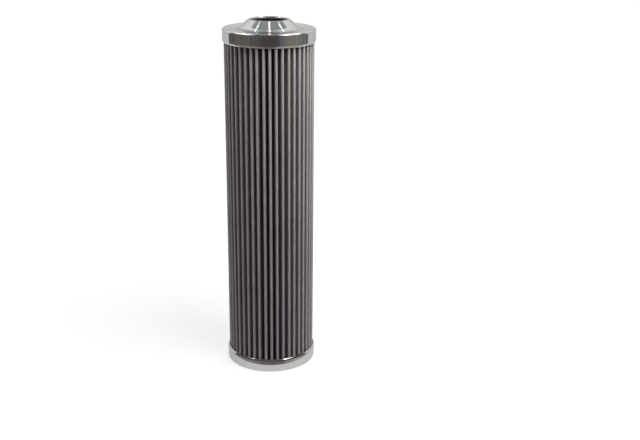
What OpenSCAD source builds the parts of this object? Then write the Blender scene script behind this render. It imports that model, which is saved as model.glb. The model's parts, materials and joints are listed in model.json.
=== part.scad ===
// Hydraulic filter element: a pleated wire mesh pack between two metal end caps.
// Millimetres, standing on its foot cap, +Z up through the neck.
// The origin is the centre of the foot face.

/* [Overall] */
// Outside diameter of both end caps
cap_d = 68; // [64:0.5:76]
// Height from the foot face to the flat face of the top cap, neck left out
body_h = 258; // [120:1:400]

/* [End caps] */
// Height of a cap's side band, lip included
cap_h = 10; // [9:0.5:16]
// Thickness of the caps' flat plates
plate_t = 1.6; // [1.4:0.1:2.4]
// Thickness of the caps' skirts
skirt_t = 1; // [0.7:0.05:1.3]
// Rounding between a cap's flat face and its side band
edge_r = 1.4; // [0.6:0.1:1.4]
// Height of the chamfer round a skirt's lip
lip_h = 1.3; // [0.6:0.1:2.4]
// Flat that the chamfer leaves at the end of a lip
lip_land = 0.2; // [0.1:0.05:0.4]
// Height of the collar inside each cap that centres the core tube
collar_h = 3; // [2:0.5:5]
// Wall of that collar
collar_t = 1.2; // [0.8:0.1:1.6]
// Clearance between the collar and the core tube
collar_gap = 0.1; // [0.05:0.05:0.3]

/* [Neck] */
// Height of the cone above the top cap's flat face
neck_h = 6.2; // [6:0.1:12]
// Diameter of the cone at its foot
neck_foot_d = 45.6; // [43:0.2:54]
// Bore of the neck
neck_bore_d = 26.7; // [24:0.1:27]
// Chamfer at the mouth of the bore
mouth_chamfer = 0.5; // [0.2:0.1:0.8]
// Width of the flat land between that chamfer and the cone
land_w = 1.05; // [0.8:0.05:2]
// Rounding of the land's outer edge
land_edge_r = 0.8; // [0.2:0.1:1]
// Fillet at the foot of the cone
foot_fillet_r = 12; // [2:0.5:13]

/* [Neck seal] */
// Thickness of the seal ring's cord
cord_d = 3; // [2.4:0.1:3.2]
// How far the ring stands out of the bore
cord_proud = 0.15; // [0.05:0.05:0.2]
// Gap behind the ring in its groove
groove_back_gap = 0.05; // [0.05:0.05:0.2]
// Gap above and below the ring in its groove
groove_side_gap = 0.3; // [0.1:0.1:0.6]
// Wall between the land and the groove
groove_wall = 2.2; // [2:0.1:3]

/* [Foot] */
// Hole through the foot cap
foot_hole_d = 29.3; // [26:0.1:31]
// Chamfer round the foot hole
foot_hole_chamfer = 0.3; // [0.1:0.1:0.5]

/* [Pleat pack] */
// Number of pleats, the seam pleat included
pleat_count = 44; // [30:1:46]
// How far a crest may stray from its even place, in degrees
pleat_stray = 0.3; // [0:0.05:0.3]
// Direction of the seam pleat, in degrees from +X
seam_angle = 93.5; // [0:0.1:360]
// Clearance between the crests and the skirts
pack_gap = 0.15; // [0.1:0.05:0.5]
// Clearance between the inner folds and the core tube
core_gap = 0.3; // [0.2:0.1:0.6]
// Half the gap between the two legs of a pleat
leg_gap = 0.15; // [0.05:0.05:0.2]
// Thickness of the outer and of the inner support mesh
mesh_t = 0.25; // [0.15:0.01:0.28]
// Thickness of the two protective fleeces
fleece_t = 0.1; // [0.06:0.01:0.14]
// Thickness of the coarse filter layer
coarse_t = 0.15; // [0.08:0.01:0.2]
// Thickness of the fine filter layer
fine_t = 0.15; // [0.08:0.01:0.2]

/* [Seam clip] */
// Sheet thickness of the clip
clip_t = 0.4; // [0.3:0.05:0.6]
// How far the clip's legs reach down the seam pleat
clip_leg = 6; // [3:0.5:9]
// How far the back of the clip lies inside the crests
clip_drop = 0.6; // [0.2:0.1:1.5]

/* [Core tube] */
// Outside diameter of the core tube
core_d = 37; // [36:0.5:42]
// Sheet thickness of the core tube
core_t = 0.8; // [0.6:0.1:1.2]
// Diameter of the holes in the core tube
core_hole_d = 5; // [3:0.5:6]
// Number of holes round the core tube
core_columns = 10; // [6:2:12]
// Height from one ring of holes to the next
core_row_pitch = 9.5; // [8:0.5:16]
// Plain length at each end of the core tube
core_plain = 12; // [10:1:30]
// Width of the lock seam along the inside of the core tube
lock_seam_w = 4; // [3:0.5:6]
// Height by which the lock seam stands inside the core tube
lock_seam_t = 0.8; // [0.5:0.1:1]

/* [Bonding] */
// Depth of adhesive under the pleats
bond_floor = 0.8; // [0.5:0.1:1.5]
// Height of the adhesive between the pleats
bond_h = 5; // [3:0.5:7]

/* [Hidden] */
$fn = 128;

cap_r = cap_d / 2;
skirt_r = cap_r - skirt_t;
core_r = core_d / 2;
collar_r = core_r - core_t - collar_gap;
neck_bore_r = neck_bore_d / 2;
neck_land_r = neck_bore_r + mouth_chamfer + land_w;
neck_foot_r = neck_foot_d / 2;
foot_hole_r = foot_hole_d / 2;
land_z = body_h + neck_h;

// Slope of the cone's flank, and how far its foot fillet reaches from the corner
flank = atan2(neck_h, neck_foot_r - neck_land_r);
fillet_reach = foot_fillet_r * tan(flank / 2);

// The seal ring and the groove cut for it
cord_r = cord_d / 2;
seal_r = neck_bore_r - cord_proud + cord_r;
groove_r = seal_r + cord_r + groove_back_gap;
groove_top_z = land_z - groove_wall;
groove_bottom_z = groove_top_z - cord_d - 2 * groove_side_gap;
seal_z = (groove_top_z + groove_bottom_z) / 2;

// The pack stands between the two floors of adhesive
pack_r = skirt_r - pack_gap;
pack_low_z = plate_t + bond_floor;
pack_h = body_h - 2 * pack_low_z;

// Where each layer starts, counted from the inner face of the pack
inner_mesh_face = mesh_t;
inner_fleece_face = inner_mesh_face + fleece_t;
fine_face = inner_fleece_face + fine_t;
coarse_face = fine_face + coarse_t;
outer_fleece_face = coarse_face + fleece_t;
pack_face = outer_fleece_face + mesh_t;

// Centre of a crest's bend, the reach of the inner folds and the seam pleat's end
crest_centre_r = pack_r - leg_gap - pack_face;
fold_reach_r = core_r + core_gap;
sheet_end_r = pack_r - clip_drop - clip_t;
crest_steps = 6;
fold_steps = 4;
stray_seed = 11;
stray = concat([0], rands(-pleat_stray, pleat_stray, pleat_count - 1, stray_seed));

function direction(angle) = [cos(angle), sin(angle)];

function crest_angle(k) =
    seam_angle + k * 360 / pleat_count + (k < pleat_count ? stray[k] : 0);

function crest_gap(k) = crest_angle(k + 1) - crest_angle(k);

// Distance from the axis to the centre of an inner fold's bend
function fold_centre_r(k) = (fold_reach_r - leg_gap) / (1 - sin(crest_gap(k) / 2));

// Points round the inner fold between crests k and k + 1, at a depth in the pack
function fold_points(k, depth) =
    let (middle = (crest_angle(k) + crest_angle(k + 1)) / 2,
         centre = fold_centre_r(k) * direction(middle),
         bend = fold_centre_r(k) * sin(crest_gap(k) / 2) - leg_gap - depth,
         sweep = 180 - crest_gap(k))
    [for (i = [0 : fold_steps])
        centre + bend * direction(crest_angle(k) - 90 - i * sweep / fold_steps)];

// Points round crest k, at a depth in the pack
function crest_points(k, depth) =
    [for (i = [0 : crest_steps])
        crest_centre_r * direction(crest_angle(k))
        + (leg_gap + depth) * direction(crest_angle(k) - 90 + i * 180 / crest_steps)];

// End of a sheet on one side of the seam pleat
function sheet_end(side, depth) =
    sheet_end_r * direction(seam_angle)
    + side * (leg_gap + depth) * direction(seam_angle + 90);

// One face of a folded sheet, from the seam right round and back to the seam
function folded_face(depth) = concat(
    [sheet_end(1, depth)],
    [for (k = [0 : pleat_count - 1])
        each concat(fold_points(k, depth),
                    k < pleat_count - 1 ? crest_points(k + 1, depth) : [])],
    [sheet_end(-1, depth)]);

function reversed(points) = [for (i = [len(points) - 1 : -1 : 0]) points[i]];

// A folded sheet between two depths of the pack
module folded_sheet(inner_face, outer_face) {
    translate([0, 0, pack_low_z])
        linear_extrude(pack_h)
            polygon(concat(folded_face(inner_face), reversed(folded_face(outer_face))));
}

// Turned section that rounds off a convex corner at the origin, facing +X and +Y
module corner_cut(radius) {
    difference() {
        translate([-radius, -radius]) square(2 * radius);
        translate([-radius, -radius]) circle(radius);
        translate([-3 * radius, -2 * radius]) square([2 * radius, 4 * radius]);
        translate([-2 * radius, -3 * radius]) square([4 * radius, 2 * radius]);
    }
}

// Half section of a cap with its flat face on Y = 0 and its skirt hanging below.
// The middle is drawn by the points of centre_line, from the plate's underside
// at the hole up and out to the flat face.
module cap_section(centre_line) {
    difference() {
        polygon(concat(centre_line, [
            [cap_r, 0],
            [cap_r, lip_h - cap_h],
            [skirt_r + lip_land, -cap_h],
            [skirt_r, -cap_h],
            [skirt_r, -plate_t],
            [collar_r, -plate_t],
            [collar_r, -plate_t - collar_h],
            [collar_r - collar_t, -plate_t - collar_h],
            [collar_r - collar_t, -plate_t]
        ]));
        translate([cap_r, 0]) corner_cut(edge_r);
    }
}

// Half section of the top cap: plate and skirt with the cone, its fillet, the
// rounded land and the groove for the seal ring
module top_cap_section() {
    difference() {
        cap_section([
            [neck_bore_r, -plate_t],
            [neck_bore_r, neck_h - mouth_chamfer],
            [neck_bore_r + mouth_chamfer, neck_h],
            [neck_land_r, neck_h],
            [neck_foot_r - fillet_reach * cos(flank), fillet_reach * sin(flank)],
            [neck_foot_r + fillet_reach, 0]
        ]);
        translate([neck_foot_r + fillet_reach, foot_fillet_r]) circle(foot_fillet_r);
        translate([neck_land_r, neck_h]) land_cut();
        translate([0, groove_bottom_z - body_h])
            square([groove_r, groove_top_z - groove_bottom_z]);
    }
}

// Cuts the sharp edge between the land and the cone's flank to a radius
module land_cut() {
    reach = land_edge_r * tan(flank / 2);
    difference() {
        polygon([
            [-reach, 0],
            [-reach, land_edge_r],
            [reach * cos(flank) + land_edge_r * sin(flank),
             land_edge_r * cos(flank) - reach * sin(flank)],
            [reach * cos(flank), -reach * sin(flank)]
        ]);
        translate([-reach, -land_edge_r]) circle(land_edge_r);
    }
}

module top_cap() {
    color("#b9bab8")
        translate([0, 0, body_h])
            rotate_extrude()
                top_cap_section();
}

module neck_o_ring() {
    color("#1b1a1c")
        translate([0, 0, seal_z])
            rotate_extrude()
                translate([seal_r, 0]) circle(cord_r);
}

module bottom_cap() {
    color("#c2c1bc")
        mirror([0, 0, 1])
            rotate_extrude()
                cap_section([
                    [foot_hole_r, -plate_t],
                    [foot_hole_r, -foot_hole_chamfer],
                    [foot_hole_r + foot_hole_chamfer, 0]
                ]);
}

// Adhesive that fills a cap round the ends of the pleats, standing on Z = 0
module bond() {
    linear_extrude(bond_floor)
        difference() {
            circle(skirt_r);
            circle(core_r);
        }
    translate([0, 0, bond_floor])
        linear_extrude(bond_h - bond_floor)
            difference() {
                circle(skirt_r);
                polygon(folded_face(pack_face));
                clip_outline();
            }
}

module bottom_bond() {
    color("#6d5a3c")
        translate([0, 0, plate_t])
            bond();
}

module top_bond() {
    color("#6d5a3c")
        translate([0, 0, body_h - plate_t])
            mirror([0, 0, 1])
                bond();
}

// Section of the clip with its legs, and the slot that the sheet ends sit in
module clip_outline() {
    half_w = leg_gap + pack_face + clip_t;
    rotate(seam_angle)
        translate([sheet_end_r - clip_leg, -half_w])
            square([clip_leg + clip_t, 2 * half_w]);
}

module seam_clip() {
    slot_half_w = leg_gap + pack_face;
    color("#8f9092")
        translate([0, 0, pack_low_z])
            linear_extrude(pack_h)
                difference() {
                    clip_outline();
                    rotate(seam_angle)
                        translate([sheet_end_r - 2 * clip_leg, -slot_half_w])
                            square([2 * clip_leg, 2 * slot_half_w]);
                }
}

module inner_mesh() {
    color("#9a9a94") folded_sheet(0, inner_mesh_face);
}

module inner_fleece() {
    color("#e8e6df") folded_sheet(inner_mesh_face, inner_fleece_face);
}

module fine_layer() {
    color("#f3f2ee") folded_sheet(inner_fleece_face, fine_face);
}

module coarse_layer() {
    color("#ece8da") folded_sheet(fine_face, coarse_face);
}

module outer_fleece() {
    color("#e2e0d8") folded_sheet(coarse_face, outer_fleece_face);
}

module outer_mesh() {
    color("#9b9c90") folded_sheet(outer_fleece_face, pack_face);
}

// Rolled sheet with rings of round holes, closed by a lock seam on the inside
module core_tube() {
    core_h = body_h - 2 * plate_t;
    holed_h = core_h - 2 * core_plain;
    rows = floor(holed_h / core_row_pitch) + 1;
    first_z = plate_t + (core_h - (rows - 1) * core_row_pitch) / 2;
    inside_r = core_r - core_t;
    seam_low_z = plate_t + collar_h + collar_gap;
    seam_half_angle = asin((lock_seam_w + core_hole_d) / 2 / inside_r);
    color("#8c8d90") {
        difference() {
            translate([0, 0, plate_t]) cylinder(h = core_h, r = core_r);
            translate([0, 0, plate_t - 1]) cylinder(h = core_h + 2, r = inside_r);
            for (row = [0 : rows - 1])
                for (column = [0 : core_columns - 1]) {
                    turn = (column + (row % 2) / 2) * 360 / core_columns;
                    if (min(turn, 360 - turn) > seam_half_angle)
                        rotate(seam_angle + turn)
                            translate([inside_r / 2, 0, first_z + row * core_row_pitch])
                                rotate([0, 90, 0])
                                    cylinder(h = core_r, r = core_hole_d / 2, $fn = 32);
                }
        }
        translate([0, 0, seam_low_z])
            linear_extrude(body_h - 2 * seam_low_z)
                intersection() {
                    difference() {
                        circle(core_r - core_t / 2);
                        circle(inside_r - lock_seam_t);
                    }
                    rotate(seam_angle)
                        translate([0, -lock_seam_w / 2])
                            square([core_r, lock_seam_w]);
                }
    }
}

bottom_cap();
bottom_bond();
core_tube();
inner_mesh();
inner_fleece();
fine_layer();
coarse_layer();
outer_fleece();
outer_mesh();
seam_clip();
top_bond();
top_cap();
neck_o_ring();
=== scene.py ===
import json
import math

import bmesh
import bpy
from mathutils import Euler, Matrix, Vector
from mathutils.kdtree import KDTree

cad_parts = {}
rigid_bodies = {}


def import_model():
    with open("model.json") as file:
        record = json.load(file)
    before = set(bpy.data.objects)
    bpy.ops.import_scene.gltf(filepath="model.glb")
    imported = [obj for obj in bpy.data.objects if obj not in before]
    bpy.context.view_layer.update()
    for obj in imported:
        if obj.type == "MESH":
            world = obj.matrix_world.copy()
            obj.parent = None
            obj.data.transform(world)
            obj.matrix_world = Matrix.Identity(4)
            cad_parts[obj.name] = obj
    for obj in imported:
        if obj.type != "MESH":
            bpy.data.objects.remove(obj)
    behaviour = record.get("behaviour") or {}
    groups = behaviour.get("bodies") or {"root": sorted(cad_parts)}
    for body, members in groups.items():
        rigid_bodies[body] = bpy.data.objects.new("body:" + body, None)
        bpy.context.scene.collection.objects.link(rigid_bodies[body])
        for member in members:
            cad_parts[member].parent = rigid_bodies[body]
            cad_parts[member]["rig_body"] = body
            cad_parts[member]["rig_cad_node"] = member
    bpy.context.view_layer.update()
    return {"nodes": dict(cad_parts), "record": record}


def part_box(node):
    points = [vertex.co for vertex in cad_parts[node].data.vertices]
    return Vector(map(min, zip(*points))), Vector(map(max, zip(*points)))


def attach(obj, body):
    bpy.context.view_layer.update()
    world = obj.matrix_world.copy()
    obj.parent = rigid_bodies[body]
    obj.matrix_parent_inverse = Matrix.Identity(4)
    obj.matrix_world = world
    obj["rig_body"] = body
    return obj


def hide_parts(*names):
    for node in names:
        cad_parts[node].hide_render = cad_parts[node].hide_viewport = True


bl_info = {
    "name": "Hydraulic Filter Element Finish",
    "version": (1, 0, 0),
    "blender": (4, 5, 0),
    "location": "3D View > Sidebar > Filter Element",
    "description": "Gives a pleated hydraulic filter element its turned caps, folded mesh and finishes",
    "category": "Object",
}

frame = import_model()

MM = 0.001
# Distances in metres below which vertices are welded, and below which places are the same
WELD = 1e-7
NEARBY = 1e-6
NODES = frame["nodes"]
MOUNTS = {mount["name"]: mount for mount in frame["record"]["mounts"]}


def low(node):
    """Lowest corner of a node's box."""
    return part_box(node)[0]


def high(node):
    """Highest corner of a node's box."""
    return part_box(node)[1]


# Sizes that the frame gives
CAP_RADIUS = high("top_cap").x
LAND_HEIGHT = high("top_cap").z
SHOULDER_HEIGHT = MOUNTS["shoulder"]["pos_m"][2]
CAP_HEIGHT = high("bottom_cap").z
NECK_BORE_RADIUS = MOUNTS["neck_bore"]["dims"]["r_mm"] * MM
FOOT_HOLE_RADIUS = MOUNTS["foot_bore"]["dims"]["r_mm"] * MM
CORE_RADIUS = high("core_tube").x
PACK_RADIUS = -low("outer_mesh").y
PACK_LOW = low("outer_mesh").z
PACK_HIGH = high("outer_mesh").z
SEAL_LOW = low("neck_o_ring").z
SEAL_HIGH = high("neck_o_ring").z


def length(name, description, default, smallest=0.0, largest=1.0):
    """A property that holds a length in metres."""
    return bpy.props.FloatProperty(
        name=name, description=description, default=default, min=smallest, max=largest,
        unit="LENGTH", precision=5)


def colour(name, description, default):
    """A property that holds a colour."""
    return bpy.props.FloatVectorProperty(
        name=name, description=description, default=default, min=0.0, max=1.0,
        size=3, subtype="COLOR")


def share(name, description, default):
    """A property that holds a share from 0 to 1."""
    return bpy.props.FloatProperty(
        name=name, description=description, default=default, min=0.0, max=1.0, subtype="FACTOR")


class FilterCapSettings(bpy.types.PropertyGroup):
    """Sizes and colour of the two end caps."""

    plate: length("Plate", "Thickness of the flat plates", 1.6 * MM)
    skirt: length("Skirt", "Thickness of the skirts", 1 * MM)
    edge: length("Edge", "Rounding between face and band", 1.4 * MM)
    lip_height: length("Lip height", "Height of the chamfer round a lip", 1.3 * MM)
    lip_land: length("Lip land", "Flat at the end of a lip", 0.2 * MM)
    collar_height: length("Collar height", "Height of the collars round the core's ends", 3 * MM)
    collar_wall: length("Collar wall", "Wall of those collars", 1.2 * MM)
    collar_radius: length("Collar radius", "Outer radius of the collars", CORE_RADIUS - 0.9 * MM)
    neck_foot: length("Neck foot", "Radius of the neck's cone at its foot", 22.8 * MM)
    neck_land: length("Neck land", "Radius of the flat land round the mouth", 14.9 * MM)
    land_edge: length("Land edge", "Rounding of the land's outer edge", 0.8 * MM)
    neck_fillet: length("Neck fillet", "Fillet at the foot of the cone", 12 * MM)
    mouth: length("Mouth chamfer", "Chamfer at the mouth of the neck", 0.5 * MM)
    foot_chamfer: length("Foot chamfer", "Chamfer round the foot hole", 0.3 * MM)
    groove_gap: length("Groove gap", "Gap above and below the seal ring", 0.3 * MM)
    groove_radius: length("Groove radius", "Radius of the seal ring's groove", 16.25 * MM)
    burr: length("Broken edges", "Rounding of the small edges", 0.08 * MM)
    mouth_round: length("Mouth rounding", "Rounding of the mouth chamfer's edges", 0.35 * MM)
    metal: colour("Metal", "Colour of the cap metal", (0.475, 0.472, 0.475))


class FilterPleatSettings(bpy.types.PropertyGroup):
    """Sizes and colours of the pleated mesh."""

    levels: bpy.props.IntProperty(
        name="Levels", description="Cuts across the pleats, which let the crests wander",
        default=26, min=2, max=60)
    sway: length("Sway", "How far a crest wanders from its straight line", 0.02 * MM)
    wire_pitch: length("Wire pitch", "Distance from one wire of the mesh to the next", 0.5 * MM)
    wire: colour("Wire", "Colour of the wires on the crests", (0.80, 0.82, 0.71))
    # Painted shade: the wires down in the folds take this darker, purplish colour in place of the shade
    # there. It is full at the depth fold below the crests.
    painted_fold_shade: colour("Deep wire", "Colour of the wires down in the folds", (0.47, 0.395, 0.46))
    gap: colour("Gap", "Colour of the fleece in the shade between the wires", (0.10, 0.085, 0.10))
    fold: length("Fold", "Depth below the crests where the colour is the deep one", 0.9 * MM)


class FilterInsideSettings(bpy.types.PropertyGroup):
    """Colours of the pieces inside the element."""

    core: colour("Core", "Colour of the perforated core", (0.52, 0.52, 0.53))
    clip: colour("Clip", "Colour of the seam clip", (0.50, 0.50, 0.50))
    adhesive: colour("Adhesive", "Colour of the bonding", (0.36, 0.27, 0.15))
    rubber: colour("Rubber", "Colour of the seal ring", (0.018, 0.017, 0.018))
    fleece: colour("Fleece", "Colour of the fleeces", (0.80, 0.78, 0.73))
    fibre: colour("Fibre", "Colour of the filter layers", (0.86, 0.85, 0.82))


class FilterStageSettings(bpy.types.PropertyGroup):
    """Camera, lamps and floor of the product shot."""

    camera_place: bpy.props.FloatVectorProperty(
        name="Camera", description="Where the camera stands", size=3,
        default=(37.9 * MM, -726.6 * MM, 359.0 * MM), subtype="TRANSLATION", unit="LENGTH")
    camera_down: bpy.props.FloatProperty(
        name="Down", description="How far the camera looks down", default=0.3273,
        subtype="ANGLE", unit="ROTATION")
    camera_roll: bpy.props.FloatProperty(
        name="Roll", description="Turn of the camera about its line of sight", default=0.0095,
        subtype="ANGLE", unit="ROTATION")
    focal_length: bpy.props.FloatProperty(
        name="Focal length", description="Focal length in millimetres on a 36 mm sensor",
        default=56.43, min=10, max=300)
    floor_size: length("Floor", "Side of the square floor", 16.0, 1.0, 100.0)
    floor_colour: colour("Floor colour", "Colour of the floor", (0.5, 0.5, 0.5))
    floor_bounce: colour("Floor bounce", "Colour that the floor throws back", (0.26, 0.24, 0.32))
    floor_glow: share("Floor glow", "Share of the floor's white that shadows leave", 0.74)


# Selecting by place

def deselect_objects():
    """Leaves nothing selected, so that an operator acts only on the piece at hand."""
    bpy.ops.object.select_all(action="DESELECT")


def make_active(piece):
    """Selects one piece and makes it the active one."""
    deselect_objects()
    piece.select_set(True)
    bpy.context.view_layer.objects.active = piece


def select_verts(piece, wanted):
    """In edit mode, selects the vertices whose place in the row's frame passes a test."""
    bpy.ops.mesh.select_mode(type="VERT")
    bpy.ops.mesh.select_all(action="DESELECT")
    mesh = bmesh.from_edit_mesh(piece.data)
    for vert in mesh.verts:
        if wanted(piece.matrix_world @ vert.co):
            vert.select_set(True)
    mesh.select_flush_mode()
    bmesh.update_edit_mesh(piece.data)


def select_edges(piece, wanted):
    """In edit mode, selects the edges whose two ends pass a test."""
    bpy.ops.mesh.select_mode(type="EDGE")
    bpy.ops.mesh.select_all(action="DESELECT")
    mesh = bmesh.from_edit_mesh(piece.data)
    for edge in mesh.edges:
        start, end = (piece.matrix_world @ vert.co for vert in edge.verts)
        edge.select_set(wanted(start, end))
    bmesh.update_edit_mesh(piece.data)


def apply_modifiers(piece):
    """Applies every modifier of a piece in order."""
    make_active(piece)
    for modifier in list(piece.modifiers):
        bpy.ops.object.modifier_apply(modifier=modifier.name)


def settle(piece):
    """Puts a piece's place into its mesh and leaves the object at the origin."""
    make_active(piece)
    bpy.ops.object.transform_apply(location=True, rotation=True, scale=True)


# Turned pieces

CAP_STEPS = 240
# Edges of a cap that turn by less than this are shaded smooth
CAP_SMOOTH = math.radians(32)


def corner_reach(before, corner, after, radius):
    """How far along its edges a corner is cut for a rounding of some radius."""
    into, out = (corner - before).normalized(), (after - corner).normalized()
    return radius * math.tan(into.angle(out) / 2)


def draw_section(name, corners):
    """Draws a closed half section corner after corner in the XZ plane, and rounds it.

    Each corner is its distance from the axis, its height, its radius and the steps of the arc.
    """
    places = [Vector((r, 0, z)) for r, z, radius, steps in corners]
    deselect_objects()
    bpy.ops.mesh.primitive_plane_add(size=MM, location=places[0], enter_editmode=True)
    bpy.ops.mesh.merge(type="CENTER")
    piece = bpy.context.object
    piece.name = name
    for here, there in zip(places, places[1:]):
        bpy.ops.mesh.extrude_vertices_move(
            TRANSFORM_OT_translate={"value": there - here})
    bpy.ops.mesh.select_all(action="SELECT")
    bpy.ops.mesh.edge_face_add()
    for index, (r, z, radius, steps) in enumerate(corners):
        if radius > 0:
            corner = places[index]
            reach = corner_reach(
                places[index - 1], corner, places[(index + 1) % len(places)], radius)
            select_verts(piece, lambda place, corner=corner: (place - corner).length < NEARBY)
            bpy.ops.mesh.bevel(
                offset=reach, offset_type="OFFSET", segments=steps, profile=0.5,
                affect="VERTICES", clamp_overlap=True)
    return piece


def spin_section(piece):
    """Spins a drawn section once round the axis and closes its seam."""
    bpy.ops.mesh.select_all(action="SELECT")
    bpy.ops.mesh.delete(type="ONLY_FACE")
    bpy.ops.mesh.select_all(action="SELECT")
    bpy.ops.mesh.spin(steps=CAP_STEPS, angle=2 * math.pi, center=(0, 0, 0), axis=(0, 0, 1))
    bpy.ops.mesh.select_all(action="SELECT")
    bpy.ops.mesh.remove_doubles(threshold=WELD)
    bpy.ops.mesh.normals_make_consistent(inside=False)
    bpy.ops.object.mode_set(mode="OBJECT")
    settle(piece)
    bpy.ops.object.shade_smooth_by_angle(angle=CAP_SMOOTH)


def cap_rim(caps, side, face_z):
    """Corners of a cap's outer half, from the outer edge of its face in to the hole's foot.

    side is 1 where the skirt hangs below the face, and -1 where it stands above it.
    """
    def at(depth):
        return face_z - side * depth

    skirt_r = CAP_RADIUS - caps.skirt
    collar_in = caps.collar_radius - caps.collar_wall
    burr = caps.burr
    return [
        (CAP_RADIUS, at(0), caps.edge, 10),
        (CAP_RADIUS, at(CAP_HEIGHT - caps.lip_height), 3 * burr, 3),
        (skirt_r + caps.lip_land, at(CAP_HEIGHT), burr, 2),
        (skirt_r, at(CAP_HEIGHT), burr, 2),
        (skirt_r, at(caps.plate), 2 * burr, 3),
        (caps.collar_radius, at(caps.plate), 2 * burr, 3),
        (caps.collar_radius, at(caps.plate + caps.collar_height), burr, 2),
        (collar_in, at(caps.plate + caps.collar_height), burr, 2),
        (collar_in, at(caps.plate), burr, 2),
    ]


class OBJECT_OT_filter_top_cap(bpy.types.Operator):
    """Turns the top cap with its conical neck and seal groove"""

    bl_idname = "object.filter_top_cap"
    bl_label = "Top Cap"

    def execute(self, context):
        caps = context.scene.filter_caps
        burr = caps.burr
        bore = NECK_BORE_RADIUS
        groove_low = SEAL_LOW - caps.groove_gap
        groove_high = SEAL_HIGH + caps.groove_gap
        piece = draw_section("top_cap_turned", [
            (bore, SHOULDER_HEIGHT - caps.plate, burr, 2),
            (bore, groove_low, burr, 2),
            (caps.groove_radius, groove_low, 0, 0),
            (caps.groove_radius, groove_high, 0, 0),
            (bore, groove_high, burr, 2),
            (bore, LAND_HEIGHT - caps.mouth, caps.mouth_round, 4),
            (bore + caps.mouth, LAND_HEIGHT, caps.mouth_round, 4),
            (caps.neck_land, LAND_HEIGHT, caps.land_edge, 6),
            (caps.neck_foot, SHOULDER_HEIGHT, caps.neck_fillet, 20),
            *cap_rim(caps, 1, SHOULDER_HEIGHT),
        ])
        spin_section(piece)
        piece.data.materials.append(cap_material(caps))
        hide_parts("top_cap")
        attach(piece, "root")
        return {"FINISHED"}


class OBJECT_OT_filter_bottom_cap(bpy.types.Operator):
    """Turns the bottom cap with its plain foot hole"""

    bl_idname = "object.filter_bottom_cap"
    bl_label = "Bottom Cap"

    def execute(self, context):
        caps = context.scene.filter_caps
        piece = draw_section("bottom_cap_turned", [
            (FOOT_HOLE_RADIUS, caps.plate, caps.burr, 2),
            (FOOT_HOLE_RADIUS, caps.foot_chamfer, caps.burr, 2),
            (FOOT_HOLE_RADIUS + caps.foot_chamfer, 0, caps.burr, 2),
            *cap_rim(caps, -1, 0),
        ])
        spin_section(piece)
        piece.data.materials.append(cap_material(caps))
        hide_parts("bottom_cap")
        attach(piece, "root")
        return {"FINISHED"}


# The folded mesh

# How far below the outermost line a standing edge still belongs to a crest, and its bevel
CREST_DEPTH = 1.2 * MM
CREST_BEVEL = 0.13 * MM
# Crests stand still at both ends and wander in full this far from them
STILL_END = 8 * MM
# Size in metres of the noise that the crests follow, on the unrolled sheet
WANDER_SCALE = 0.25
FOLD_SMOOTH = math.radians(60)


def unroll(piece, rim_z):
    """Writes a UV map in metres: across, the length along the folds, and up, the height."""
    mesh = bmesh.new()
    mesh.from_mesh(piece.data)
    rim = {v for v in mesh.verts if abs(v.co.z - rim_z) < WELD}
    here, travelled = next(iter(rim)), 0.0
    plan = KDTree(len(rim))
    across = []
    while here is not None:
        rim.discard(here)
        plan.insert((here.co.x, here.co.y, 0), len(across))
        across.append(travelled)
        ahead = next((edge.other_vert(here) for edge in here.link_edges
                      if edge.other_vert(here) in rim), None)
        if ahead is not None:
            travelled += (ahead.co - here.co).length
        here = ahead
    plan.balance()
    layer = mesh.loops.layers.uv.new("UVMap")
    for vert in mesh.verts:
        column = plan.find((vert.co.x, vert.co.y, 0))[1]
        for loop in vert.link_loops:
            loop[layer].uv = (across[column], vert.co.z - rim_z)
    mesh.to_mesh(piece.data)
    mesh.free()
    if rim:
        raise RuntimeError(f"{len(rim)} vertices of the rim lie off its one loop")


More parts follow.
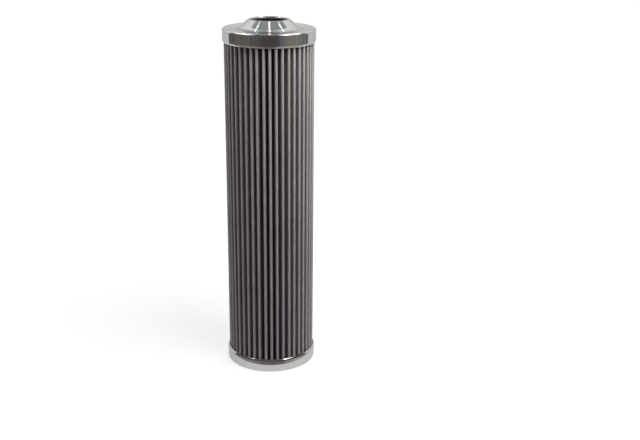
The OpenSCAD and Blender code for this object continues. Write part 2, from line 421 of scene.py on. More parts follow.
class OBJECT_OT_filter_outer_mesh(bpy.types.Operator):
    """Makes the pleated wire mesh, with crests that wander a little"""

    bl_idname = "object.filter_outer_mesh"
    bl_label = "Outer Mesh"

    def execute(self, context):
        pleats = context.scene.filter_pleats
        piece = NODES["outer_mesh"].copy()
        piece.data = piece.data.copy()
        piece.name = "pleated_wire_mesh"
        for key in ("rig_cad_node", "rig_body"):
            del piece[key]
        piece.parent = None
        context.collection.objects.link(piece)
        make_active(piece)
        bpy.ops.mesh.customdata_custom_splitnormals_clear()
        bpy.ops.object.mode_set(mode="EDIT")
        bpy.ops.mesh.select_all(action="SELECT")
        bpy.ops.mesh.remove_doubles(threshold=WELD)
        bpy.ops.mesh.dissolve_limited(angle_limit=math.radians(1))
        self.open_ends(piece)
        self.cut_levels(pleats.levels)
        self.round_crests(piece)
        bpy.ops.object.mode_set(mode="OBJECT")
        unroll(piece, PACK_LOW)
        self.wander(piece, pleats.sway)
        self.close_ends(piece)
        piece.data.materials.clear()
        piece.data.materials.append(mesh_material("pleated_wire", pleats))
        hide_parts("outer_mesh")
        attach(piece, "root")
        return {"FINISHED"}

    def open_ends(self, piece):
        """Takes the two flat ends off, so that only the folded faces are cut and bent."""
        bpy.ops.mesh.select_mode(type="FACE")
        bpy.ops.mesh.select_all(action="DESELECT")
        mesh = bmesh.from_edit_mesh(piece.data)
        for face in mesh.faces:
            face.select_set(abs(face.normal.z) > 0.9)
        bmesh.update_edit_mesh(piece.data)
        bpy.ops.mesh.delete(type="FACE")

    def cut_levels(self, levels):
        """Cuts the pleats across at even heights."""
        for level in range(1, levels):
            height = PACK_LOW + (PACK_HIGH - PACK_LOW) * level / levels
            bpy.ops.mesh.select_all(action="SELECT")
            bpy.ops.mesh.bisect(plane_co=(0, 0, height), plane_no=(0, 0, 1))

    def round_crests(self, piece):
        """Bevels the standing edges round the outside of each crest once more."""
        crest_start = PACK_RADIUS - CREST_DEPTH

        def stands_on_crest(a, b):
            return (a - b).xy.length < WELD and a.xy.length > crest_start

        select_edges(piece, stands_on_crest)
        bpy.ops.mesh.bevel(
            offset=CREST_BEVEL, offset_type="OFFSET", segments=1, affect="EDGES",
            clamp_overlap=True)

    def wander(self, piece, sway):
        """Lets the crests wander: a smooth noise over the unrolled sheet moves its outer part."""
        group = piece.vertex_groups.new(name="crest")
        for vert in piece.data.vertices:
            out = (vert.co.xy.length - CORE_RADIUS) / (PACK_RADIUS - CORE_RADIUS)
            ends = min(vert.co.z - PACK_LOW, PACK_HIGH - vert.co.z) / STILL_END
            weight = max(0.0, min(1.0, out)) * max(0.0, min(1.0, ends))
            group.add([vert.index], weight, "REPLACE")
        noise = bpy.data.textures.new("crest_wander", "CLOUDS")
        noise.cloud_type = "COLOR"
        noise.noise_scale = WANDER_SCALE
        noise.noise_depth = 0
        modifier = piece.modifiers.new("wander", "DISPLACE")
        modifier.texture = noise
        modifier.texture_coords = "UV"
        modifier.uv_layer = "UVMap"
        modifier.direction = "RGB_TO_XYZ"
        modifier.vertex_group = "crest"
        modifier.mid_level = 0.5
        modifier.strength = sway
        apply_modifiers(piece)
        bpy.data.textures.remove(noise)
        piece.vertex_groups.clear()

    def close_ends(self, piece):
        """Puts the flat ends of the sheet back and shades the folds smooth."""
        make_active(piece)
        bpy.ops.object.mode_set(mode="EDIT")
        for height in (PACK_LOW, PACK_HIGH):
            select_edges(
                piece, lambda a, b, height=height: abs(a.z - height) < NEARBY
                and abs(b.z - height) < NEARBY)
            bpy.ops.mesh.edge_face_add()
        bpy.ops.mesh.select_all(action="SELECT")
        bpy.ops.mesh.normals_make_consistent(inside=False)
        bpy.ops.object.mode_set(mode="OBJECT")
        bpy.ops.object.shade_smooth_by_angle(angle=FOLD_SMOOTH)


# Node trees

WHITE = (1.0, 1.0, 1.0)
COOL_WHITE = (0.62, 0.88, 1.0)
# The weave, in shares of a wire's thickness: how far the wires bend over and under each
# other, how far they are lifted off the ground, and the height below which a gap shows
WEAVE_BEND = 0.4
WEAVE_LIFT = 0.5
WEAVE_GAP = 0.08
# The streaks are a noise on a circle of this radius. A metre of height counts as much, so that
# they are drawn out upright.
STREAK_SCALE = 60.0


class Board:
    """Places nodes in a tree and joins their sockets by name."""

    def __init__(self, tree):
        self.tree = tree
        self.tree.nodes.clear()
        self.column = 0

    def add(self, kind, inputs=None, **settings):
        """Adds a node. inputs maps a socket's name or number to a value or to another socket."""
        node = self.tree.nodes.new(kind)
        node.location = (self.column * 190, 0)
        self.column += 1
        for name, value in settings.items():
            setattr(node, name, value)
        for name, value in (inputs or {}).items():
            socket = node.inputs[name]
            if isinstance(value, bpy.types.NodeSocket):
                self.link(value, socket)
            else:
                socket.default_value = value
        return node

    def link(self, output, target):
        """Joins two sockets."""
        self.tree.links.new(output, target)

    def group(self, name, build, inputs):
        """Adds a shared node group, built the first time it is used, and returns its outputs."""
        tree = bpy.data.node_groups.get(name) or build(name)
        return self.add("ShaderNodeGroup", inputs, node_tree=tree).outputs

    def place(self):
        """Place of the shaded point in the object's own frame."""
        return self.add("ShaderNodeTexCoord").outputs["Object"]

    def parts(self, vector):
        """Splits a vector. The result holds its X, Y and Z."""
        return self.add("ShaderNodeSeparateXYZ", {0: vector}).outputs

    def maths(self, operation, first, second=0.0, clamp=False):
        """Adds a Math node and returns its result."""
        node = self.add("ShaderNodeMath", {0: first, 1: second},
                        operation=operation, use_clamp=clamp)
        return node.outputs[0]

    def total(self, start, *terms):
        """Adds up a start and, for each term, its value times its weight."""
        for value, weight in terms:
            start = self.maths("ADD", start, self.maths("MULTIPLY", value, weight))
        return start

    def size(self, vector):
        """Length of a vector."""
        return self.add("ShaderNodeVectorMath", {0: vector}, operation="LENGTH").outputs["Value"]

    def from_axis(self, place):
        """Distance of a place from the upright axis."""
        parts = self.parts(place)
        squares = [self.maths("MULTIPLY", parts[axis], parts[axis]) for axis in "XY"]
        return self.maths("SQRT", self.maths("ADD", *squares))

    def mix_colour(self, factor, first, second, blend="MIX"):
        """Adds a Mix node for colours and returns its result."""
        node = self.add("ShaderNodeMix", {0: factor, 6: first, 7: second},
                        data_type="RGBA", blend_type=blend)
        return node.outputs[2]

    def noise(self, vector, scale, detail=2.0, roughness=0.5):
        """Adds a Noise Texture and returns its value."""
        node = self.add("ShaderNodeTexNoise", {
            "Vector": vector, "Scale": scale, "Detail": detail, "Roughness": roughness})
        return node.outputs["Fac"]

    def ramp(self, value, stops):
        """Adds a Color Ramp with stops of a place and a colour each, and returns its colour."""
        node = self.add("ShaderNodeValToRGB", {"Fac": value})
        band = node.color_ramp.elements
        while len(band) < len(stops):
            band.new(1.0)
        for element, (place, rgb) in zip(band, stops):
            element.position = place
            element.color = opaque(rgb)
        return node.outputs["Color"]

    def span(self, value, from_low, from_high, to_low, to_high, smooth=False):
        """Adds a Map Range node and returns its result."""
        node = self.add("ShaderNodeMapRange", {
            "Value": value, "From Min": from_low, "From Max": from_high,
            "To Min": to_low, "To Max": to_high},
            interpolation_type="SMOOTHSTEP" if smooth else "LINEAR")
        return node.outputs["Result"]

    def fade(self, value, low, high):
        """Goes smoothly from 0 to 1 between two limits."""
        return self.span(value, low, high, 0.0, 1.0, smooth=True)

    def bump(self, height, strength, distance):
        """Adds a Bump node and returns its normal."""
        return self.add("ShaderNodeBump", {
            "Height": height, "Strength": strength, "Distance": distance}).outputs[0]


def opaque(rgb, level=1.0):
    """A colour with full alpha, at a level of its brightness."""
    return (*(level * part for part in rgb), 1.0)


def new_group(name, inputs, outputs):
    """Starts a shader node group and returns it, its board and its sockets within.

    Each socket is a name, a kind and, for inputs, a default.
    """
    group = bpy.data.node_groups.new(name, "ShaderNodeTree")
    for label, kind, default in inputs:
        socket = group.interface.new_socket(label, in_out="INPUT", socket_type="NodeSocket" + kind)
        if default is not None:
            socket.default_value = default
    for label, kind in outputs:
        group.interface.new_socket(label, in_out="OUTPUT", socket_type="NodeSocket" + kind)
    board = Board(group)
    given = board.add("NodeGroupInput").outputs
    return group, board, given, board.add("NodeGroupOutput").inputs


def build_woven_wire(name):
    """Plain weave of round wires over a flat pair of coordinates."""
    group, board, given, result = new_group(
        name,
        [("Across", "Float", 0.0), ("Up", "Float", 0.0), ("Pitch", "Float", 0.5 * MM),
         ("Wire Share", "Float", 0.5)],
        [("Height", "Float"), ("Gap", "Float")])
    across = board.maths("DIVIDE", given["Across"], given["Pitch"])
    up = board.maths("DIVIDE", given["Up"], given["Pitch"])
    waves = {}
    for label, value in (("across", across), ("up", up)):
        turn = board.maths("MULTIPLY", value, math.pi)
        wave = board.maths("SINE", turn)
        offset = board.maths("SUBTRACT", board.maths("FRACT", value), 0.5)
        from_axis = board.maths("DIVIDE", board.maths("ABSOLUTE", offset),
                                board.maths("MULTIPLY", given["Wire Share"], 0.5))
        wire = board.maths("SUBTRACT", 1.0, board.maths("POWER", from_axis, 2.0), clamp=True)
        waves[label] = (wave, board.maths("SIGN", wave), wire)
    heights = []
    for here, other, sense in (("across", "up", 1.0), ("up", "across", -1.0)):
        bend = board.maths("MULTIPLY", waves[other][0], waves[here][1])
        bend = board.maths("MULTIPLY", bend, WEAVE_BEND * sense)
        lifted = board.maths("ADD", waves[here][2], bend)
        solid = board.maths("GREATER_THAN", waves[here][2], 0.01)
        heights.append(board.maths("MULTIPLY", board.maths("ADD", lifted, WEAVE_LIFT), solid))
    height = board.maths("MAXIMUM", heights[0], heights[1])
    board.link(height, result["Height"])
    board.link(board.maths("LESS_THAN", height, WEAVE_GAP), result["Gap"])
    return group


def build_handling_marks(name):
    """Cloudy stains and fine rubbing that vary a finish."""
    group, board, given, result = new_group(
        name,
        [("Vector", "Vector", None), ("Scale", "Float", 60.0), ("Amount", "Float", 0.5)],
        [("Stain", "Float"), ("Rub", "Float")])
    cloud = board.noise(given["Vector"], given["Scale"], 3.0, 0.55)
    stain = board.fade(cloud, 0.42, 0.68)
    board.link(board.maths("MULTIPLY", stain, given["Amount"]), result["Stain"])
    fine = board.noise(given["Vector"],
                       board.maths("MULTIPLY", given["Scale"], 9.0), 2.0, 0.6)
    rub = board.span(fine, 0.5, 0.75, 0.0, 1.0)
    board.link(board.maths("MULTIPLY", rub, given["Amount"]), result["Rub"])
    return group


def build_lathe_lines(name):
    """Line is a fine noise in rings round the axis, and Streak one of upright stripes."""
    group, board, given, result = new_group(
        name,
        [("Vector", "Vector", None), ("Line Pitch", "Float", 0.2 * MM)],
        [("Line", "Float"), ("Streak", "Float")])
    x, y, z = board.parts(given["Vector"])
    travel = board.maths("ADD", board.from_axis(given["Vector"]), z)
    rings = board.add("ShaderNodeTexNoise", {
        "W": board.maths("DIVIDE", travel, given["Line Pitch"]),
        "Scale": 1.0, "Detail": 3.0, "Roughness": 0.7}, noise_dimensions="1D")
    angle = board.maths("ARCTAN2", y, x)
    turns = (board.maths("COSINE", angle), board.maths("SINE", angle), z)
    around = board.add("ShaderNodeCombineXYZ", {
        index: board.maths("MULTIPLY", value, STREAK_SCALE) for index, value in enumerate(turns)})
    streaks = board.noise(around.outputs[0], 1.0, 3.0, 0.65)
    board.link(rings.outputs["Fac"], result["Line"])
    board.link(streaks, result["Streak"])
    return group


def new_material(name):
    """An empty material and the board of its node tree."""
    material = bpy.data.materials.new(name)
    material.use_nodes = True
    return material, Board(material.node_tree)


def finish_material(board, shader_inputs):
    """Adds the Principled shader and the output."""
    shader = board.add("ShaderNodeBsdfPrincipled", shader_inputs)
    board.add("ShaderNodeOutputMaterial", {"Surface": shader.outputs[0]})


def cap_material(caps):
    """Bright turned steel: rings on the faces, upright streaks on the drawn bands."""
    existing = bpy.data.materials.get("turned_steel")
    if existing:
        return existing
    material, board = new_material("turned_steel")
    place = board.place()
    lines = board.group("lathe_lines", build_lathe_lines, {
        "Vector": place, "Line Pitch": 0.16 * MM})
    marks = board.group("handling_marks", build_handling_marks, {
        "Vector": place, "Scale": 55.0, "Amount": 1.0})
    normal = board.add("ShaderNodeNewGeometry").outputs["Normal"]
    upright = board.maths("ABSOLUTE", board.parts(normal)["Z"])
    band = board.span(upright, 0.3, 0.7, 1.0, 0.0, smooth=True)
    streak = board.maths("MULTIPLY", lines["Streak"], band)
    from_axis = board.from_axis(place)
    # The bore is left dull, and the flat face outside the neck's land is less bright than the rest
    in_bore = board.maths("LESS_THAN", from_axis, NECK_BORE_RADIUS + 0.02 * MM)
    flat = board.maths("MULTIPLY", board.fade(upright, 0.97, 0.998),
                       board.maths("GREATER_THAN", from_axis, caps.neck_land + 2 * MM))
    metal = board.mix_colour(
        board.maths("MULTIPLY", marks["Stain"], 0.25), opaque(caps.metal),
        opaque(caps.metal, 0.86))
    metal = board.mix_colour(flat, metal, opaque(caps.metal, 1.06))
    rough = board.total(
        0.05, (streak, 0.04), (in_bore, 0.45), (flat, 0.08), (marks["Rub"], 0.05))
    on_face = board.maths("SUBTRACT", 1.0, band)
    relief = board.total(board.maths("MULTIPLY", lines["Line"], on_face), (streak, 0.6))
    tangent = board.add("ShaderNodeTangent", direction_type="RADIAL", axis="Z")
    finish_material(board, {
        "Base Color": metal, "Metallic": 1.0, "Roughness": rough,
        "Specular Tint": (0.7, 0.7, 0.7, 1), "Anisotropic": 0.4,
        "Tangent": tangent.outputs[0], "Normal": board.bump(relief, 0.06, 0.004 * MM)})
    return material


def mesh_material(name, pleats):
    """Woven steel wire over pale fleece, from the piece's own unrolled map, with painted shade down in
    the folds and between the wires.
    """
    material, board = new_material(name)
    unrolled = board.parts(board.add("ShaderNodeUVMap", uv_map="UVMap").outputs[0])
    weave = board.group("woven_wire", build_woven_wire, {
        "Across": unrolled["X"], "Up": unrolled["Y"], "Pitch": pleats.wire_pitch,
        "Wire Share": 0.62})
    place = board.place()
    marks = board.group("handling_marks", build_handling_marks, {
        "Vector": place, "Scale": 30.0, "Amount": 1.0})
    # Painted shade: the wire colour darkens towards the painted fold shade with depth below the crests.
    # Real stains then darken it in clouds.
    wire = board.mix_colour(
        board.span(board.from_axis(place), PACK_RADIUS - pleats.fold, PACK_RADIUS - 0.1 * MM,
                   0.0, 1.0),
        opaque(pleats.painted_fold_shade), opaque(pleats.wire))
    stained_and_fold_shaded = board.mix_colour(
        board.maths("MULTIPLY", marks["Stain"], 0.35), wire, opaque(WHITE, 0.8), "MULTIPLY")
    finish_material(board, {
        "Base Color": board.mix_colour(weave["Gap"], stained_and_fold_shaded, opaque(pleats.gap)),
        "Metallic": board.maths("MULTIPLY", 0.3, board.maths("SUBTRACT", 1.0, weave["Gap"])),
        "Roughness": board.total(0.42, (marks["Rub"], 0.1)),
        "Normal": board.bump(weave["Height"], 0.8, 0.12 * MM)})
    return material


def folded_material(name, base, rough, metallic, grain_scale, grain):
    """Fleece, fibre or hidden mesh on the folded layers, with a fine grain in the round."""
    material, board = new_material(name)
    place = board.place()
    fibres = board.noise(place, grain_scale, 4.0, 0.7)
    shade = board.mix_colour(
        board.span(fibres, 0.35, 0.7, 0.0, 1.0), opaque(base), opaque(base, 0.78))
    finish_material(board, {
        "Base Color": shade, "Metallic": metallic, "Roughness": rough,
        "Normal": board.bump(fibres, grain, 0.05 * MM)})
    return material


def core_material(inside):
    """Galvanised sheet of the core: pale spangle with a fine grain."""
    material, board = new_material("galvanised_core")
    place = board.place()
    spangle = board.add("ShaderNodeTexVoronoi", {"Vector": place, "Scale": 260.0})
    tone = board.span(spangle.outputs["Distance"], 0.1, 0.8, 0.0, 1.0)
    finish_material(board, {
        "Base Color": board.mix_colour(tone, opaque(inside.core), opaque(inside.core, 0.8)),
        "Metallic": 1.0, "Roughness": board.span(tone, 0.0, 1.0, 0.3, 0.45),
        "Normal": board.bump(board.noise(place, 900.0, 3.0, 0.6), 0.2, 0.03 * MM)})
    return material


def rubber_material(inside):
    """Moulded nitrile rubber of the seal ring, with a trace of bloom."""
    material, board = new_material("seal_rubber")
    place = board.place()
    bloom = board.noise(place, 420.0, 4.0, 0.6)
    tone = board.mix_colour(
        board.span(bloom, 0.45, 0.75, 0.0, 1.0), opaque(inside.rubber),
        opaque(inside.rubber, 2.2))
    finish_material(board, {
        "Base Color": tone, "Roughness": board.span(bloom, 0.3, 0.8, 0.38, 0.6),
        "Normal": board.bump(bloom, 0.15, 0.02 * MM)})
    return material


def adhesive_material(inside):
    """Cured casting adhesive: amber and cloudy, with a slightly uneven skin."""
    material, board = new_material("cured_adhesive")
    place = board.place()
    cloud = board.noise(place, 140.0, 3.0, 0.6)
    tone = board.mix_colour(cloud, opaque(inside.adhesive), opaque(inside.adhesive, 0.6))
    finish_material(board, {
        "Base Color": tone, "Roughness": board.span(cloud, 0.3, 0.8, 0.25, 0.45),
        "Normal": board.bump(board.noise(place, 700.0, 2.0, 0.5), 0.3, 0.1 * MM)})
    return material


def clip_material(inside):
    """Rolled strip steel of the seam clip, with long rolling lines."""
    material, board = new_material("strip_steel")
    place = board.place()
    stretched = board.add("ShaderNodeMapping", {"Vector": place, "Scale": (1800, 1800, 40)})
    lines = board.noise(stretched.outputs[0], 1.0, 3.0, 0.6)
    metal = board.mix_colour(lines, opaque(inside.clip), opaque(inside.clip, 0.75))
    finish_material(board, {
        "Base Color": metal, "Metallic": 1.0, "Roughness": board.span(lines, 0.2, 0.8, 0.22, 0.4),
        "Normal": board.bump(lines, 0.3, 0.02 * MM)})
    return material


def dress(node, material):
    """Gives a CAD node a finish in place of its plain one."""
    slots = NODES[node].data.materials
    slots.clear()
    slots.append(material)


class OBJECT_OT_filter_inside(bpy.types.Operator):
    """Finishes the core, the filter layers, the bonding, the clip and the seal ring"""

    bl_idname = "object.filter_inside"
    bl_label = "Inside Pieces"

    def execute(self, context):
        inside = context.scene.filter_inside
        fleece = folded_material("fleece", inside.fleece, 0.9, 0.0, 1500.0, 0.5)
        fibre = folded_material("filter_fibre", inside.fibre, 0.95, 0.0, 2500.0, 0.4)
        support = folded_material(
            "support_mesh", context.scene.filter_pleats.wire, 0.45, 1.0, 3000.0, 0.8)
        bonding = adhesive_material(inside)
        dress("outer_fleece", fleece)
        dress("inner_fleece", fleece)
        dress("coarse_layer", fibre)
        dress("fine_layer", fibre)
        dress("inner_mesh", support)
        dress("core_tube", core_material(inside))
        dress("seam_clip", clip_material(inside))
        dress("top_bond", bonding)
        dress("bottom_bond", bonding)
        dress("neck_o_ring", rubber_material(inside))
        return {"FINISHED"}


# Stage

def lamp_turn(place, target, long_way):
    """Turn of a lamp that faces the target, its height along long_way as far as that lets it."""
    back = (place - target).normalized()
    side = long_way.cross(back).normalized()
    return Matrix((side, back.cross(side), back)).transposed().to_euler()


def card_material(name, glow, tint):
    """Even glow of a lamp that shows only in reflections."""
    material, board = new_material(name)
    light = board.add("ShaderNodeEmission", {"Color": opaque(tint), "Strength": glow})
    board.add("ShaderNodeOutputMaterial", {"Surface": light.outputs[0]})
    material.cycles.emission_sampling = "NONE"
    return material


def show_to_metal_only(card):
    """Leaves a piece of the stage visible in reflections only."""
    card.visible_camera = False
    card.visible_diffuse = False
    card.visible_transmission = False
    card.visible_shadow = False


def add_card(name, place, target, size, glow, long_way, tint):
    """Adds a rectangular lamp that shows only in reflections. A glow of 1 is the white sweep's."""
    deselect_objects()
    bpy.ops.mesh.primitive_plane_add(
        size=1, location=place, rotation=lamp_turn(place, target, long_way))
    card = bpy.context.object
    card.name = name
    card.scale = (*size, 1)
    settle(card)
    card.data.materials.append(card_material(name, glow, tint))
    show_to_metal_only(card)


def toward(azimuth, elevation):
    """Direction from the object: degrees round from the front to the right, and up."""
    across, up = math.radians(azimuth), math.radians(elevation)
    return Vector((math.sin(across) * math.cos(up), -math.cos(across) * math.cos(up),
                   math.sin(up)))


# Area lamps: where each stands from the mouth of the neck, and its power
LAMP_SIDE = 0.2
LAMPS = (
    ("key", 0.28 * toward(50, 60), 13.0),
    ("back", 0.45 * toward(176, 40), 7.0),
)
# Cards that face the mouth of the neck: where they stand from it, their size and their glow
CARDS = (
    ("soft_box_right", 0.6 * toward(65, 40), (0.50, 0.38), 5.0),
    ("soft_box_left", 0.6 * toward(-73, 40), (0.50, 0.36), 3.0),
    ("rim_right", Vector((0.42, 0.05, 0.91)), (0.28, 0.14), 5.0),
    ("rim_left", Vector((-0.54, 0.16, 0.83)), (0.28, 0.14), 5.0),
)
# Long tubes under the ceiling, by where they start and end, their width, glow and tint
TUBE_HEIGHT = 1.3
TUBES = (
    ("tube_middle_near", (0.02, -0.05), (0.0, 0.24), 0.052, 4.5, WHITE),
    ("tube_middle_far", (0.0, 0.24), (-0.075, 1.6), 0.034, 4.0, WHITE),
    ("tube_left_start", (-0.568, 0.315), (-0.498, 0.333), 0.12, 5.0, COOL_WHITE),
    ("tube_left_near", (-0.518, 0.39), (-0.393, 0.88), 0.026, 4.5, COOL_WHITE),
    ("tube_left_middle", (-0.393, 0.88), (-0.315, 1.635), 0.022, 4.5, COOL_WHITE),
    ("tube_left_far", (-0.315, 1.635), (-0.30, 2.3), 0.022, 4.5, COOL_WHITE),
    ("tube_right_start", (0.470, 0.367), (0.540, 0.405), 0.12, 5.0, COOL_WHITE),
    ("tube_right_near", (0.477, 0.44), (0.306, 0.924), 0.026, 4.5, COOL_WHITE),
    ("tube_right_middle", (0.306, 0.924), (0.149, 1.671), 0.022, 4.5, COOL_WHITE),
    ("tube_right_far", (0.149, 1.671), (0.073, 2.3), 0.022, 4.5, COOL_WHITE),
)

# What metal sees round the object: the dark open studio in front, the ceiling, and behind the
# white sweep, whose brightness changes with height. Its middle passes into the back wall.
OPEN_STUDIO = (0.13, 0.115, 0.12)
CEILING = (0.50, 0.50, 0.49)
BACK_WALL = (0.60, 0.60, 0.59)
SWEEP = (
    (0.14, (0.72, 0.72, 0.73)),
    (0.41, (0.88, 0.87, 0.85)),
    (0.61, (1.0, 0.99, 0.95)),
    (0.80, (1.0, 0.99, 0.96)),
)
SWEEP_GLOW = 1.4
# The dim light that matt surfaces get instead
FILL = (0.075, 0.061, 0.085)
# Limits of those parts, in a direction of length 1 with Y to the back and Z up
BEHIND = (0.15, 0.33)
WALL_RISE = (0.14, 0.55)
CEILING_RISE = (0.73, 0.81)
# The sweep's middle strip, as X over Y: how far it lies to the left, and its soft edge
MIDDLE_SHIFT = 0.09
MIDDLE_EDGE = (0.06, 0.22)

# The flag is a flat ring sector round the axis, open at the back
FLAG_NEAR = 0.045
FLAG_FAR = 5.0
FLAG_HEIGHT = MM
FLAG_HALF_ANGLE = math.radians(111.3)
FLAG_STEPS = 90
# Cloth colours from the flag's left end to its right end
FLAG_CLOTH = (
    (0.0, (0.19, 0.175, 0.155)),
    (0.29, (0.20, 0.19, 0.165)),
    (0.455, (0.115, 0.095, 0.10)),
    (0.60, (0.12, 0.105, 0.11)),
    (0.66, (0.21, 0.22, 0.26)),
    (0.74, (0.36, 0.32, 0.23)),
    (0.85, (0.31, 0.30, 0.28)),
    (1.0, (0.27, 0.26, 0.23)),
)
# Near the object the cloth is this much brighter, and it fades to its own level between these
FLAG_NEAR_GLOW = 2.1
FLAG_FADE = (0.35, 0.6)

# The floor lies this far under the foot, and what it takes from white fades between these
FLOOR_DROP = 0.1 * MM
FLOOR_FADE = (0.12, 0.6)


def world_look(world):
    """White behind the object, a grey ceiling, and dark in front where the studio is open."""
    world.use_nodes = True
    board = Board(world.node_tree)
    way = board.parts(board.add("ShaderNodeTexCoord").outputs["Generated"])
    wings = board.mix_colour(
        1.0, board.ramp(way["Z"], SWEEP), opaque(WHITE, SWEEP_GLOW), "MULTIPLY")
    middle = board.mix_colour(board.fade(way["Z"], *WALL_RISE), opaque(WHITE), opaque(BACK_WALL))
    across = board.maths("DIVIDE", way["X"], board.maths("MAXIMUM", way["Y"], 0.01))
    aside = board.maths("ABSOLUTE", board.maths("ADD", across, MIDDLE_SHIFT))
    sweep = board.mix_colour(board.fade(aside, *MIDDLE_EDGE), middle, wings)
    room = board.mix_colour(board.fade(way["Y"], *BEHIND), opaque(OPEN_STUDIO), sweep)
    studio = board.mix_colour(board.fade(way["Z"], *CEILING_RISE), room, opaque(CEILING))
    rays = board.add("ShaderNodeLightPath").outputs
    studio = board.mix_colour(rays["Is Diffuse Ray"], studio, opaque(FILL))
    plain = board.maths("MAXIMUM", rays["Is Camera Ray"], rays["Is Transmission Ray"])
    look = board.mix_colour(plain, studio, opaque(WHITE))
    backdrop = board.add("ShaderNodeBackground", {"Color": look, "Strength": 1.0})
    board.add("ShaderNodeOutputWorld", {"Surface": backdrop.outputs[0]})


def floor_material(stage):
    """Matt white floor that shows as the backdrop's white where no shadow falls."""
    material, board = new_material("white_floor")
    rays = board.add("ShaderNodeLightPath").outputs
    matt = board.add("ShaderNodeBsdfDiffuse", {"Color": board.mix_colour(
        rays["Is Diffuse Ray"], opaque(stage.floor_colour), opaque(stage.floor_bounce))})
    seen = board.maths("MAXIMUM", rays["Is Camera Ray"], board.maths(
        "MAXIMUM", rays["Is Glossy Ray"], rays["Is Transmission Ray"]))
    level = board.span(
        board.size(board.place()), *FLOOR_FADE, stage.floor_glow, 1.0, smooth=True)
    glow = board.add("ShaderNodeEmission", {
        "Color": opaque(WHITE), "Strength": board.maths("MULTIPLY", seen, level)})
    both = board.add("ShaderNodeAddShader", {0: matt.outputs[0], 1: glow.outputs[0]})
    below = board.add("ShaderNodeNewGeometry").outputs["Backfacing"]
    clear = board.add("ShaderNodeBsdfTransparent")
    floor = board.add("ShaderNodeMixShader", {0: below, 1: both.outputs[0], 2: clear.outputs[0]})
    board.add("ShaderNodeOutputMaterial", {"Surface": floor.outputs[0]})
    material.cycles.emission_sampling = "NONE"
    return material


def flag_material():
    """Dark cloth of the flag that metal sees in front of the object, a little uneven."""
    material, board = new_material("flag_cloth")
    place = board.place()
    way = board.add("ShaderNodeVectorMath", {0: place}, operation="NORMALIZE").outputs[0]
    parts = board.parts(way)
    turn = board.maths("ARCTAN2", parts["X"], board.maths("MULTIPLY", parts["Y"], -1.0))
    along = board.span(turn, -FLAG_HALF_ANGLE, FLAG_HALF_ANGLE, 0.0, 1.0)
    folds = board.span(board.noise(way, 10.0, 4.0, 0.75), 0.3, 0.7, 0.65, 1.35)
    near = board.span(board.size(place), *FLAG_FADE, FLAG_NEAR_GLOW, 1.0, smooth=True)
    cloth = board.add("ShaderNodeEmission", {
        "Color": board.ramp(along, FLAG_CLOTH), "Strength": board.maths("MULTIPLY", folds, near)})
    board.add("ShaderNodeOutputMaterial", {"Surface": cloth.outputs[0]})
    material.cycles.emission_sampling = "NONE"
    return material


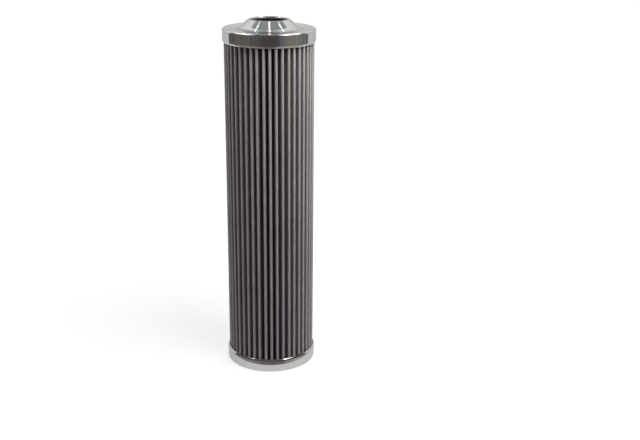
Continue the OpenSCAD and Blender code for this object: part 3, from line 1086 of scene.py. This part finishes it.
class OBJECT_OT_filter_stage(bpy.types.Operator):
    """Sets up the floor, the flag, the lamps, the world and the camera"""

    bl_idname = "object.filter_stage"
    bl_label = "Stage"

    def execute(self, context):
        stage = context.scene.filter_stage
        deselect_objects()
        bpy.ops.mesh.primitive_plane_add(size=stage.floor_size, location=(0, 0, -FLOOR_DROP))
        floor = context.object
        floor.name = "floor"
        floor.data.materials.append(floor_material(stage))
        self.flag()
        self.lamps()
        world = bpy.data.worlds.new("studio")
        context.scene.world = world
        world_look(world)
        world.cycles.sampling_method = "NONE"
        self.camera(context, stage)
        view = context.scene.view_settings
        view.view_transform = "Standard"
        return {"FINISHED"}

    def flag(self):
        """A dark card on the floor in front, seen only in reflections."""
        edge = FLAG_HALF_ANGLE - math.pi / 2
        out = Vector((math.cos(edge), math.sin(edge), 0))
        deselect_objects()
        bpy.ops.mesh.primitive_plane_add(
            size=MM, location=out * FLAG_NEAR + Vector((0, 0, FLAG_HEIGHT)), enter_editmode=True)
        bpy.ops.mesh.merge(type="CENTER")
        flag = bpy.context.object
        flag.name = "flag"
        bpy.ops.mesh.extrude_vertices_move(
            TRANSFORM_OT_translate={"value": out * (FLAG_FAR - FLAG_NEAR)})
        bpy.ops.mesh.select_all(action="SELECT")
        bpy.ops.mesh.spin(
            steps=FLAG_STEPS, angle=2 * FLAG_HALF_ANGLE, center=(0, 0, 0), axis=(0, 0, 1))
        bpy.ops.object.mode_set(mode="OBJECT")
        settle(flag)
        flag.data.materials.append(flag_material())
        show_to_metal_only(flag)

    def lamps(self):
        """The two lamps, the cards that metal shows, and long tubes under the ceiling."""
        neck = Vector((0, 0, LAND_HEIGHT))
        upright = Vector((0, 0, 1))
        for name, way, power in LAMPS:
            place = neck + way
            deselect_objects()
            bpy.ops.object.light_add(
                type="AREA", location=place, rotation=lamp_turn(place, neck, upright))
            lamp = bpy.context.object
            lamp.name = name
            lamp.data.size = LAMP_SIDE
            lamp.data.energy = power * math.pi * LAMP_SIDE ** 2
            lamp.visible_camera = False
            lamp.visible_glossy = False
        for name, way, size, glow in CARDS:
            add_card(name, neck + way, neck, size, glow, upright, WHITE)
        for name, start, end, width, glow, tint in TUBES:
            start, end = (neck + Vector((x, y, TUBE_HEIGHT)) for x, y in (start, end))
            middle = (start + end) / 2
            add_card(name, middle, middle - upright, (width, (end - start).length), glow,
                     end - start, tint)

    def camera(self, context, stage):
        """The camera of the photograph's view."""
        deselect_objects()
        turn = Euler((math.pi / 2 - stage.camera_down, 0, stage.camera_roll), "ZYX")
        bpy.ops.object.camera_add(
            location=stage.camera_place, rotation=turn.to_matrix().to_euler("XYZ"))
        camera = context.object
        camera.name = "camera"
        camera.data.sensor_width = 36.0
        camera.data.lens = stage.focal_length
        camera.data.clip_start = 0.01
        camera.data.clip_end = 50.0
        context.scene.camera = camera


class VIEW3D_PT_filter_element(bpy.types.Panel):
    """Lists the steps that dress the filter element"""

    bl_idname = "VIEW3D_PT_filter_element"
    bl_label = "Filter Element"
    bl_space_type = "VIEW_3D"
    bl_region_type = "UI"
    bl_category = "Filter Element"

    def draw(self, context):
        for step in STEPS:
            self.layout.operator(step.bl_idname)
        for group in SETTINGS:
            settings = getattr(context.scene, group)
            box = self.layout.box()
            for name in settings.__annotations__:
                box.prop(settings, name)


SETTINGS = {
    "filter_caps": FilterCapSettings,
    "filter_pleats": FilterPleatSettings,
    "filter_inside": FilterInsideSettings,
    "filter_stage": FilterStageSettings,
}
STEPS = (
    OBJECT_OT_filter_stage,
    OBJECT_OT_filter_top_cap,
    OBJECT_OT_filter_bottom_cap,
    OBJECT_OT_filter_outer_mesh,
    OBJECT_OT_filter_inside,
)
CLASSES = (*SETTINGS.values(), *STEPS, VIEW3D_PT_filter_element)


def register():
    """Registers the classes and their settings."""
    for item in CLASSES:
        bpy.utils.register_class(item)
    for name, settings in SETTINGS.items():
        setattr(bpy.types.Scene, name, bpy.props.PointerProperty(type=settings))


def unregister():
    """Takes the settings and the classes away again."""
    for name in SETTINGS:
        delattr(bpy.types.Scene, name)
    for item in reversed(CLASSES):
        bpy.utils.unregister_class(item)


def main():
    """Dresses the part."""
    register()
    bpy.ops.object.filter_stage()
    bpy.ops.object.filter_top_cap()
    bpy.ops.object.filter_bottom_cap()
    bpy.ops.object.filter_outer_mesh()
    bpy.ops.object.filter_inside()


if __name__ == "__main__":
    main()
